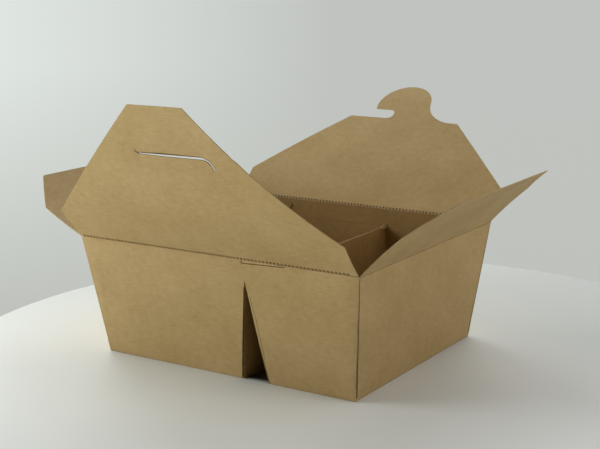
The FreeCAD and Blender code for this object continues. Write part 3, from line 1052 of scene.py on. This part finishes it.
    def relaxed(self, x: float, y: float, z: float) -> Place:
        """Where a point goes once the wall panels bow and wave, with their folds held in place."""
        tall = max(0.0, math.sin(math.pi * min(max(z / HEIGHT, 0), 1)))
        wide = max(0.0, 1 - (x / self.half_length(z)) ** 2)
        deep = max(0.0, 1 - (y / self.half_width(z)) ** 2)
        behind = self.half_width(z) - abs(y)
        long_wall = smooth_step(4.0, 1.6, behind)
        short_wall = smooth_step(4.0, 1.2, self.half_length(z) - abs(x))
        swell = self.long_swell + self.long_ripple.at(x, z)
        bulge = self.short_swell + self.short_ripple.at(y, z)
        if y < 0:
            right_panel = smooth_step(self.half_length(z), 34, x) * smooth_step(12, 30, x)
            swell += self.right_panel_swell * right_panel
        if self.web_ends[0] < abs(x) < self.web_ends[1] and z > self.web_low and behind > BOARD - 0.05:
            # The corner webs' slanted edges lie a little nearer the corners than their fold lines
            x += math.copysign(self.web_set_back * smooth_step(self.web_low, self.web_high, z), x)
        y += math.copysign(long_wall * tall * math.sqrt(wide) * swell, y)
        x += math.copysign(short_wall * tall * math.sqrt(deep) * bulge, x)
        return x, y, z

    def depths(self, piece: Object) -> list[Point]:
        """How deep each face lies behind the flat planes of the short and the long walls."""
        middles = [polygon.center / MM for polygon in piece.data.polygons]
        return [(self.half_length(m.z) - abs(m.x), self.half_width(m.z) - abs(m.y)) for m in middles]

    def face(self, middle: Vector, normal: Vector, depth: Point) -> Face:
        """Choose a face's finish.

        Args:
            middle: its middle, in millimetres.
            normal: its normal.
            depth: how deep it lay behind the short and the long wall's plane before they bowed.

        Returns:
            The finish.
        """
        deep_x, deep_y = depth
        out_x, out_y = math.copysign(1, middle.x) * normal.x, math.copysign(1, middle.y) * normal.y
        at_notch = (
            abs(middle.x - DIVIDER) < self.notch_foot + 1.2
            and abs(normal.x) > 0.9
            and deep_y < BOARD + 0.01
            and middle.z < self.notch_height + 0.2
        )
        in_pale_strip = out_y > FACING and self.pale_strip_depth - NEAR < deep_y < 2 * NEAR
        if at_notch or in_pale_strip:
            return Face.CUT_EDGE
        # Floors of the grooves and gaps in the walls take the dark crease board: painted shade
        in_long_gap = out_y > FACING and 2 * NEAR < deep_y < self.pleat_depth + 0.12
        in_short_gap = out_x > FACING and 2 * NEAR < deep_x < self.corner_depth + 0.1
        if in_long_gap or in_short_gap:
            return Face.CREASE
        # Upward faces along the rim and faces inside the tray take the darker inside board: painted shade
        at_rim = normal.z > FACING and middle.z > self.rim_zone
        within = min(deep_x, deep_y) > 0.3 or min(out_x, out_y) < -FACING
        return Face.INSIDE if at_rim or (within and middle.z > BOARD - 0.01) else Face.SURFACE

    def dress(self, piece: Object, finishes: Finishes, depths: Sequence[Point]) -> None:
        """Lay the board's pattern along each panel and find the cut edges.

        Args:
            piece: the tray.
            finishes: the board's materials.
            depths: each face's depth before the walls bowed.
        """
        finishes.put_on(piece)
        for polygon, depth in zip(piece.data.polygons, depths):
            polygon.material_index = self.face(polygon.center / MM, polygon.normal, depth).value

        def along_panel(spot: Vector, normal: Vector) -> Point:
            """The place on the pattern, which each of the three ways that a panel faces cuts elsewhere."""
            flat = max(range(3), key=lambda i: abs(normal[i]))
            first, second = [spot[i] for i in range(3) if i != flat]
            return first + flat * self.pattern_step[0], second + flat * self.pattern_step[1]

        lay_pattern(piece, along_panel)

    def build(self, finishes: Finishes) -> Object:
        """Make the tray.

        Args:
            finishes: the board's materials.

        Returns:
            The finished piece.
        """
        piece = self.start()
        self.score_step(piece)
        self.open_pleats(piece)
        self.deepen_corners(piece)
        slice_up(piece, 0, -self.top_length / 2, self.top_length / 2, self.slice_pitch)
        slice_up(piece, 1, -self.top_width / 2, self.top_width / 2, self.slice_pitch)
        slice_up(piece, 2, 0, HEIGHT, self.slice_pitch * 0.8)
        self.round_folds(piece)
        depths = self.depths(piece)
        reshape(piece, self.relaxed)
        self.dress(piece, finishes, depths)
        finish_piece(piece, "tray", self.node, angle=25)
        return piece


@dataclass
class RidgeEnd:
    """The pinched end of the divider's ridge, where the pleat turns up against a long wall."""

    ridge: float = 53.6
    wall: float = 67.2
    half: Place = (1.6, 2.4, 1.5)
    pinch: float = 0.78
    foot_width: float = 1.25
    narrowing: float = 0.7
    flattening: float = 0.55
    sinking: float = 0.5
    side_crumple: float = 0.25
    top_crumple: float = 0.16
    squash: float = 0.62
    lift: float = 0.25

    def build(self, side: int, finishes: Finishes) -> Object:
        """Make one pinched end.

        Args:
            side: -1 at the front wall, 1 at the back wall.
            finishes: the board's materials.

        Returns:
            The finished piece.
        """
        half_x, half_y, half_z = self.half
        name = "ridge_end_front" if side < 0 else "ridge_end_back"
        piece = block(name, (-half_x, -half_y, -half_z), self.half)
        edit(piece)
        bpy.ops.mesh.subdivide(number_cuts=5, smoothness=0.0)
        leave()

        def crumpled(x: float, y: float, z: float) -> Place:
            """Where a point of the block goes in the crumpled end."""
            toward = (y + half_y) / (2 * half_y)
            height = max(0.0, z + half_z) / (2 * half_z)
            narrow = (1 - self.pinch * height**0.8) * (self.foot_width - self.narrowing * toward)
            x = x * narrow + self.side_crumple * math.sin(y * 1.7 + height)
            z = z * (1.0 - self.flattening * toward) - self.sinking * toward
            z += self.top_crumple * math.sin(x * 2.4 + y * 1.3)
            return DIVIDER + x, side * (self.wall - half_z - y), self.ridge + z * self.squash + self.lift

        reshape(piece, crumpled)
        mend(piece)
        finishes.put_on(piece)
        piece.data.uv_layers[0].name = CHART
        lay_pattern(piece, lambda spot, _: (spot.x, spot.y))
        finish_piece(piece, "tray", angle=50)
        return piece


@dataclass
class CreaseTies:
    """What a perforated crease leaves uncut between a long flap and its wall."""

    wall_top: float = 63.125
    width: float = 0.43
    core: float = 0.12
    seat: float = 0.05
    rounding: float = 0.03

    def strip(self, name: str, y: Sequence[float], x: Point, reach: float, finishes: Finishes) -> Object:
        """Make a small bar with rounded edges on top of a long wall.

        Args:
            name: its name.
            y: its two sides, in millimetres.
            x: its two ends.
            reach: how far it reaches above the wall.
            finishes: the board's materials.

        Returns:
            The bar, with its pattern laid on.
        """
        low, high = sorted(y)
        piece = block(name, (x[0], low, self.wall_top - self.seat), (x[1], high, self.wall_top + reach))
        edit(piece)
        bpy.ops.mesh.bevel(offset=self.rounding * MM, segments=2, affect="EDGES")
        leave()
        finishes.put_on(piece)
        piece.data.uv_layers[0].name = CHART
        lay_pattern(piece, lambda spot, _: (spot.x, spot.z))
        return piece

    def ties(self, name: str, side: int, reach: float, finishes: Finishes) -> Object:
        """Make the row of ties between the cuts.

        Args:
            name: the piece's name.
            side: -1 for the front wall, 1 for the back wall.
            reach: how far the ties reach above the wall.
            finishes: the board's materials.

        Returns:
            The finished piece.
        """
        start, length, count = tie_row()
        middle = side * CREASE_Y
        sides = (middle - self.width / 2, middle + self.width / 2)
        piece = self.strip(name, sides, (start, start + length), reach, finishes)
        repeat(piece, count, (CUT_PITCH, 0, 0))
        finish_piece(piece, "tray")
        return piece

    def ply(self, name: str, side: int, reach: float, finishes: Finishes) -> Object:
        """Make the thin ply that stays whole on the inner side of the crease.

        Args:
            name: the piece's name.
            side: -1 for the front wall, 1 for the back wall.
            reach: how far it reaches above the wall.
            finishes: the board's materials.

        Returns:
            The finished piece.
        """
        inner = CREASE_Y - self.width / 2
        sides = (side * inner, side * (inner + self.core))
        piece = self.strip(name, sides, (-CREASE_HALF, CREASE_HALF), reach, finishes)
        finish_piece(piece, "tray")
        return piece


@dataclass(frozen=True)
class Lamp:
    """A soft square lamp that looks at the box, with its place and side in metres and its power in watts."""

    name: str
    spot: Place
    size: float
    power: float
    tint: Place = (1.0, 1.0, 1.0)

    def hang(self) -> None:
        """Hang the lamp."""
        data = bpy.data.lights.new(self.name, "AREA")
        data.size = self.size
        data.energy = self.power
        data.color = self.tint
        lamp = bpy.data.objects.new(self.name, data)
        bpy.context.scene.collection.objects.link(lamp)
        lamp.location = self.spot
        aim = Vector((0, 0, 0.05)) - Vector(self.spot)
        lamp.rotation_euler = aim.to_track_quat("-Z", "Y").to_euler()


@dataclass
class Studio:
    """Floor, light and camera, none of them part of the box. Places on the floor are in metres."""

    azimuth: float = 33.0698
    elevation: float = 12.1236
    roll: float = -0.5658
    lens: float = 73.886
    spot: Place = (350.3713, -528.9596, 201.4246)
    floor_shade: str = "#f8f9f7"
    floor_left: str = "#dcdfde"
    floor_back: str = "#c1c4c2"
    floor_under: str = "#453e32"
    floor_middle: Point = (0.0357, 0.0006)
    floor_radius: float = 0.2142
    under_half: Point = (0.0752, 0.0605)
    under_blur: float = 0.004
    backdrop_left: str = "#e9f0ec"
    backdrop_right: str = "#c0c3bf"
    backdrop_low: str = "#bfc2bc"
    glow_tint: Place = (0.955, 1.0, 0.965)
    glow_left: float = 1.38
    glow_right: float = 0.02
    glow_above: float = 0.02
    glow_below: float = 0.85
    daylight: Place = (0.965, 1.0, 0.975)
    bounce: Place = (1.0, 0.985, 0.96)

    def camera(self) -> None:
        """Put the camera where the box is seen from."""
        data = bpy.data.cameras.new("camera")
        data.lens = self.lens
        data.sensor_width = 36
        data.clip_start = 0.01
        data.clip_end = 30
        camera = bpy.data.objects.new("camera", data)
        bpy.context.scene.collection.objects.link(camera)
        az, el, roll = (math.radians(a) for a in (self.azimuth, self.elevation, self.roll))
        back = Vector((math.sin(az) * math.cos(el), -math.cos(az) * math.cos(el), math.sin(el)))
        right = Vector((math.cos(az), math.sin(az), 0))
        up = right.cross(-back)
        turned_right = right * math.cos(roll) + up * math.sin(roll)
        turned_up = up * math.cos(roll) - right * math.sin(roll)
        axes = Matrix((turned_right, turned_up, back)).transposed().to_4x4()
        camera.matrix_world = Matrix.Translation(Vector(self.spot) * MM) @ axes
        bpy.context.scene.camera = camera

    def shades(
        self, across: Node, first: str, bands: Sequence[tuple[str, float, float, str]]
    ) -> NodeSocket:
        """Blend one shade into others along the axes.

        Args:
            across: the node that splits a place to X, Y and Z.
            first: the shade that the blend starts from.
            bands: for each other shade, its axis, where it begins, where it is full, and the shade.

        Returns:
            The blended colour's socket.
        """
        tree = across.id_data
        tone = linear(first)
        for axis, begins, full, shade in bands:
            share = add_node(
                tree, "MapRange", None,
                {"Value": across.outputs[axis], "From Min": begins, "From Max": full},
            )
            mix = add_node(
                tree, "Mix", {"data_type": "RGBA"},
                {"Factor": share.outputs["Result"], 6: tone, 7: linear(shade)},
            )
            tone = mix.outputs[2]
        return tone

    def floor(self) -> None:
        """Lay the pale floor."""
        material = bpy.data.materials.new("painted_table_top_matt")
        tree = blank_tree(material)
        place = add_node(tree, "TexCoord").outputs["Object"]
        across = add_node(tree, "SeparateXYZ", None, {"Vector": place})
        # The floor is painted darker on the left and towards the back and paler in front on the right:
        # painted light and shade
        tone = self.shades(
            across, self.floor_left,
            (("X", -0.30, 0.16, self.floor_shade), ("Y", -0.12, 0.09, self.floor_back)),
        )
        # Under the box the light hardly gets in at all
        inside = []
        for axis, half, middle in zip("XY", self.under_half, self.floor_middle):
            off = add_node(tree, "Math", {"operation": "ADD"}, {0: across.outputs[axis], 1: middle})
            away = add_node(tree, "Math", {"operation": "ABSOLUTE"}, {0: off.outputs["Value"]})
            inside.append(add_node(
                tree, "MapRange", None,
                {"Value": away.outputs["Value"], "From Min": half, "From Max": half - self.under_blur},
            ))
        under = add_node(
            tree, "Math", {"operation": "MULTIPLY"},
            {0: inside[0].outputs["Result"], 1: inside[1].outputs["Result"]},
        )
        colour = add_node(
            tree, "Mix", {"data_type": "RGBA"},
            {"Factor": under.outputs["Value"], 6: tone, 7: linear(self.floor_under)},
        )
        shader = add_node(
            tree, "BsdfPrincipled", None,
            {"Base Color": colour.outputs[2], "Roughness": 0.9, "Specular IOR Level": 0.15},
        )
        add_node(tree, "OutputMaterial", None, {"Surface": shader.outputs["BSDF"]})
        bpy.ops.object.select_all(action="DESELECT")
        bpy.ops.mesh.primitive_circle_add(
            vertices=256, radius=self.floor_radius, fill_type="NGON", location=(*self.floor_middle, -0.0001)
        )
        floor = bpy.context.active_object
        floor.name = "floor"
        floor.data.materials.append(material)

    def backdrop(self) -> None:
        """Colour the pale backdrop, which the light doesn't come from."""
        world = bpy.data.worlds.new("studio")
        bpy.context.scene.world = world
        tree = blank_tree(world)
        place = add_node(tree, "TexCoord").outputs["Generated"]
        across = add_node(tree, "SeparateXYZ", None, {"Vector": place})
        # The backdrop is painted paler on the left and darker on the right and below the horizon: painted
        # light and shade
        tone = self.shades(
            across, self.backdrop_left,
            (("X", -0.80, -0.52, self.backdrop_right), ("Z", -0.08, -0.27, self.backdrop_low)),
        )
        seen = add_node(tree, "Background", None, {"Color": tone, "Strength": 1.0})
        # The room is brighter at table height than overhead and brighter on the left than on the right.
        # Below, the light is what a wide table would throw back.
        sides = []
        for end, left, right in (
            (0.8, self.glow_left, self.glow_right), (0.3, self.glow_left * 1.15, self.glow_below)
        ):
            scale = {"From Min": -0.8, "From Max": end, "To Min": left, "To Max": right}
            sides.append(add_node(tree, "MapRange", None, {"Value": across.outputs["X"], **scale}))
        room, table = sides
        glow = self.glow_above
        for low, high, below in ((0.28, 0.55, room), (-0.10, -0.02, table)):
            level = add_node(
                tree, "MapRange", None,
                {"Value": across.outputs["Z"], "From Min": low, "From Max": high},
            )
            mix = add_node(
                tree, "Mix", {"data_type": "FLOAT"},
                {"Factor": level.outputs["Result"], "A": below.outputs["Result"], "B": glow},
            )
            glow = mix.outputs["Result"]
        light = add_node(tree, "Background", None, {"Color": (*self.glow_tint, 1.0), "Strength": glow})
        path = add_node(tree, "LightPath")
        seen_by = path.outputs["Is Camera Ray"]
        for ray in ("Is Glossy Ray", "Is Transmission Ray"):
            either = add_node(tree, "Math", {"operation": "MAXIMUM"}, {0: seen_by, 1: path.outputs[ray]})
            seen_by = either.outputs["Value"]
        mix = add_node(
            tree, "MixShader", None,
            {0: seen_by, 1: light.outputs["Background"], 2: seen.outputs["Background"]},
        )
        add_node(tree, "OutputWorld", None, {"Surface": mix.outputs["Shader"]})

    def build(self) -> None:
        """Set up the studio."""
        bpy.context.scene.view_settings.view_transform = "Standard"
        self.camera()
        self.floor()
        self.backdrop()
        for lamp in (
            Lamp("window_near_left", (-0.42, -0.34, 0.22), 0.3, 1.5, self.daylight),
            Lamp("window_left", (-1.0, 0.05, 0.45), 0.6, 2.6, self.daylight),
            Lamp("window_back_left", (-0.9, 0.6, 0.7), 0.6, 7.3, self.daylight),
            Lamp("ceiling_back", (-0.2, 1.0, 0.9), 0.8, 7.8),
            Lamp("ceiling_back_right", (0.7, 0.8, 0.7), 0.6, 2.2, self.bounce),
            Lamp("wall_right", (1.0, 0.15, 0.5), 0.6, 3.3, self.bounce),
        ):
            lamp.hang()


def main() -> None:
    """Build the studio and every piece of the box."""
    logging.basicConfig(level=logging.INFO, format="%(name)s: %(message)s")
    Studio().build()
    # A darker, warmer board on the faces inside the tray, in its hollows and along its rim: painted shade
    inside_shade = KraftBoard(
        name="kraft_paperboard_inside_painted_shade", shade="#896b3c", deep="#7f6133", pale="#927445", roughness=0.7
    )
    # A much darker board, painted shade, in the crease's cuts, along the slit and in the grooves of the
    # score, the pleats and the corners
    crease_shade = KraftBoard(
        name="kraft_paperboard_crease_painted_shade", shade="#6f5630", deep="#644c29", pale="#7a6038", roughness=0.9
    )
    finishes = Finishes(KraftBoard().make(), CutEdge().make(), inside_shade.make(), crease_shade.make())
    Tray().build(finishes)
    for side in (-1, 1):
        RidgeEnd().build(side, finishes)
    crease = CreaseTies()
    crease.ties("front_crease_ties", -1, 0.5, finishes)
    crease.ply("front_crease_ply", -1, 0.13, finishes)
    crease.ply("back_crease_ply", 1, 0.13, finishes)
    Lid().build(finishes)


if __name__ == "__main__":
    main()
